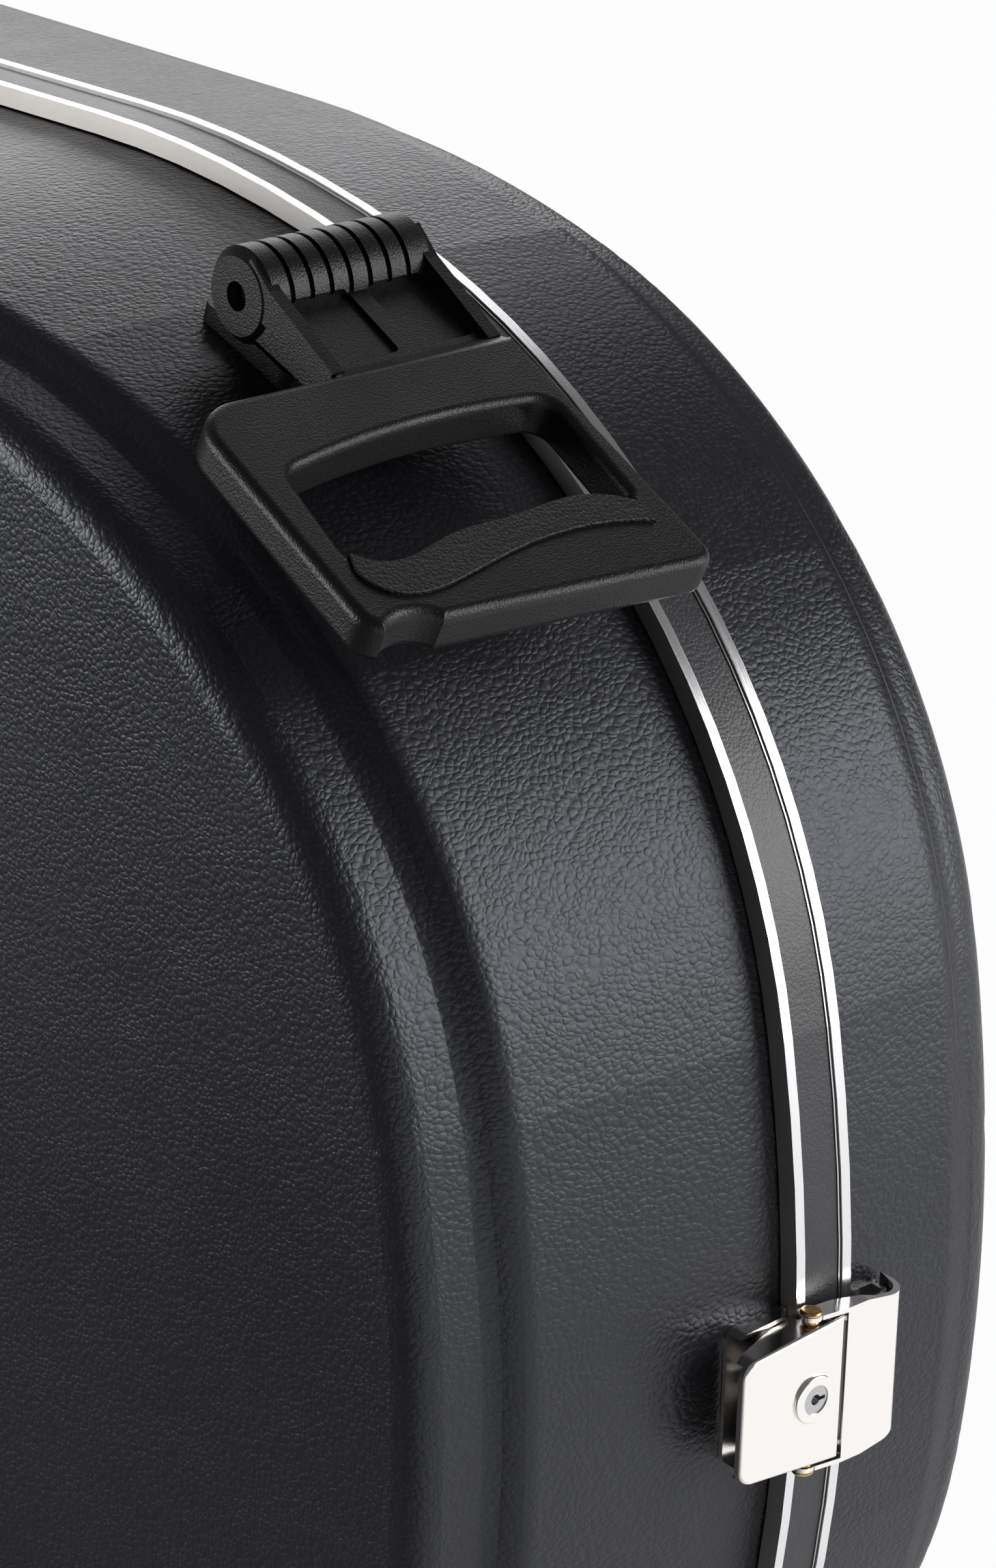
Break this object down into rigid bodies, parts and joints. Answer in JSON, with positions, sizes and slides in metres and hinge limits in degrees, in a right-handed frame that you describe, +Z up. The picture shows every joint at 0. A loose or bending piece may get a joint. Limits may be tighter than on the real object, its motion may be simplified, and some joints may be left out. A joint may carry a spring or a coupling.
{
  "type": "tuba case",
  "caption": "Moulded two-shell tuba case with aluminium valance, draw latches, hinged lid, folding pull and carry handles, corner wheels, plush lining and foam cradles.",
  "frame": {"origin": "centre of the bounding box at the feet's lowest plane, the case standing on its long hinge side", "axes": "+X towards the bow end, -X the bell end, -Y the base shell's face, +Y the lid's face, +Z up to the side with the carrying handle"},
  "size_m": [1.1015, 0.4126, 0.5637],
  "materials": {
    "shell": "pebble-grained satin",
    "aluminium": "extruded, bright satin",
    "band": "fine leather grain",
    "plush": "short plush pile",
    "foam": "plush-covered foam",
    "nickel": "polished nickel plate",
    "steel": "turned",
    "brass": "polished",
    "handle_plastic": "fine moulded texture",
    "grip_rubber": "dimpled soft grip",
    "rubber": "matte"
  },
  "bodies": {
    "base": {"base_shell": "shell", "base_valance": "aluminium", "valance_insert": "band", "base_lining": "plush", "bell_cradle": "foam", "body_cradle": "foam", "bow_cradle": "foam", "hinge_base_leaves": "nickel", "hinge_pins": "steel", "lever_pins": "steel", "pull_axle": "steel", "pull_bracket": "handle_plastic", "carry_mounts": "handle_plastic", "carry_pins": "steel", "base_wheel_axle": "steel", "base_wheel_bracket": "handle_plastic", "base_feet": "rubber", "bow_latch_base": "nickel", "bell_latch_base": "nickel", "top_bow_latch_base": "nickel", "top_bell_latch_base": "nickel"},
    "lid": {"lid_shell": "shell", "lid_valance": "aluminium", "lid_lining": "plush", "lid_bow_cushion": "foam", "lid_body_cushion": "foam", "hinge_lid_leaves": "nickel", "strikes": "nickel", "lid_wheel_axle": "steel", "lid_wheel_bracket": "handle_plastic", "lid_feet": "rubber"},
    "pull_handle": {"pull_handle": "handle_plastic", "pull_grip": "grip_rubber"},
    "carry_handle": {"carry_handle": "handle_plastic"},
    "base_wheel": {"base_tyre": "rubber", "base_hub": "handle_plastic"},
    "lid_wheel": {"lid_tyre": "rubber", "lid_hub": "handle_plastic"},
    "bow_lever": {"bow_lever": "nickel", "bow_hasp_rivets": "brass", "bow_lock_housing": "nickel"},
    "bow_hasp": {"bow_hasp": "nickel"},
    "bow_lock": {"bow_lock_plug": "nickel"},
    "bell_lever": {"bell_lever": "nickel", "bell_hasp_rivets": "brass", "bell_lock_housing": "nickel"},
    "bell_hasp": {"bell_hasp": "nickel"},
    "bell_lock": {"bell_lock_plug": "nickel"},
    "top_bow_lever": {"top_bow_lever": "nickel", "top_bow_hasp_rivets": "brass", "top_bow_lock_housing": "nickel"},
    "top_bow_hasp": {"top_bow_hasp": "nickel"},
    "top_bow_lock": {"top_bow_lock_plug": "nickel"},
    "top_bell_lever": {"top_bell_lever": "nickel", "top_bell_hasp_rivets": "brass", "top_bell_lock_housing": "nickel"},
    "top_bell_hasp": {"top_bell_hasp": "nickel"},
    "top_bell_lock": {"top_bell_lock_plug": "nickel"}
  },
  "joints": [
    {"name": "lid_hinge", "type": "hinge", "parent": "base", "child": "lid", "pos_m": [0, 0.00624, 0.0054], "axis": [-1, 0, 0], "range_deg": [0, 105]},
    {"name": "bow_lever_swing", "type": "hinge", "parent": "base", "child": "bow_lever", "pos_m": [0.54497, -0.00262, 0.26252], "axis": [0.0378, 0, 0.9993], "range_deg": [0, 100]},
    {"name": "bow_hasp_swing", "type": "hinge", "parent": "bow_lever", "child": "bow_hasp", "pos_m": [0.54547, -0.00932, 0.2625], "axis": [-0.0378, 0, -0.9993], "range_deg": [0, 120]},
    {"name": "bow_lock_turn", "type": "hinge", "parent": "bow_lever", "child": "bow_lock", "pos_m": [0.54567, -0.01061, 0.26249], "axis": [0.9993, 0, -0.0378], "range_deg": [0, 90]},
    {"name": "bell_lever_swing", "type": "hinge", "parent": "base", "child": "bell_lever", "pos_m": [-0.5453, -0.00262, 0.27987], "axis": [0, 0, -1], "range_deg": [0, 100]},
    {"name": "bell_hasp_swing", "type": "hinge", "parent": "bell_lever", "child": "bell_hasp", "pos_m": [-0.5458, -0.00932, 0.27987], "axis": [0, 0, 1], "range_deg": [0, 120]},
    {"name": "bell_lock_turn", "type": "hinge", "parent": "bell_lever", "child": "bell_lock", "pos_m": [-0.546, -0.01061, 0.27987], "axis": [-1, 0, 0], "range_deg": [0, 90]},
    {"name": "top_bow_lever_swing", "type": "hinge", "parent": "base", "child": "top_bow_lever", "pos_m": [0.11, -0.00262, 0.55404], "axis": [-1, 0, 0], "range_deg": [0, 100]},
    {"name": "top_bow_hasp_swing", "type": "hinge", "parent": "top_bow_lever", "child": "top_bow_hasp", "pos_m": [0.11, -0.00932, 0.55454], "axis": [1, 0, 0], "range_deg": [0, 120]},
    {"name": "top_bow_lock_turn", "type": "hinge", "parent": "top_bow_lever", "child": "top_bow_lock", "pos_m": [0.11, -0.01061, 0.55474], "axis": [0, 0, 1], "range_deg": [0, 90]},
    {"name": "top_bell_lever_swing", "type": "hinge", "parent": "base", "child": "top_bell_lever", "pos_m": [-0.25, -0.00262, 0.55404], "axis": [-1, 0, 0], "range_deg": [0, 100]},
    {"name": "top_bell_hasp_swing", "type": "hinge", "parent": "top_bell_lever", "child": "top_bell_hasp", "pos_m": [-0.25, -0.00932, 0.55454], "axis": [1, 0, 0], "range_deg": [0, 120]},
    {"name": "top_bell_lock_turn", "type": "hinge", "parent": "top_bell_lever", "child": "top_bell_lock", "pos_m": [-0.25, -0.01061, 0.55474], "axis": [0, 0, 1], "range_deg": [0, 90]},
    {"name": "pull_handle_swing", "type": "hinge", "parent": "base", "child": "pull_handle", "pos_m": [0.39, -0.04322, 0.538], "axis": [0, -1, 0], "range_deg": [0, 120]},
    {"name": "carry_handle_swing", "type": "hinge", "parent": "base", "child": "carry_handle", "pos_m": [-0.07, -0.02791, 0.55574], "axis": [-1, 0, 0], "range_deg": [0, 100]},
    {"name": "base_wheel_spin", "type": "hinge", "parent": "base", "child": "base_wheel", "pos_m": [-0.5139, -0.10591, 0.02777], "axis": [0, 1, 0], "continuous": true},
    {"name": "lid_wheel_spin", "type": "hinge", "parent": "lid", "child": "lid_wheel", "pos_m": [-0.5139, 0.11009, 0.02777], "axis": [0, 1, 0], "continuous": true}
  ],
  "couplings": [
    {"joint": "bow_hasp_swing", "follows": "bow_lever_swing", "ratio": 1.2},
    {"joint": "bell_hasp_swing", "follows": "bell_lever_swing", "ratio": 1.2},
    {"joint": "top_bow_hasp_swing", "follows": "top_bow_lever_swing", "ratio": 1.2},
    {"joint": "top_bell_hasp_swing", "follows": "top_bell_lever_swing", "ratio": 1.2}
  ]
}
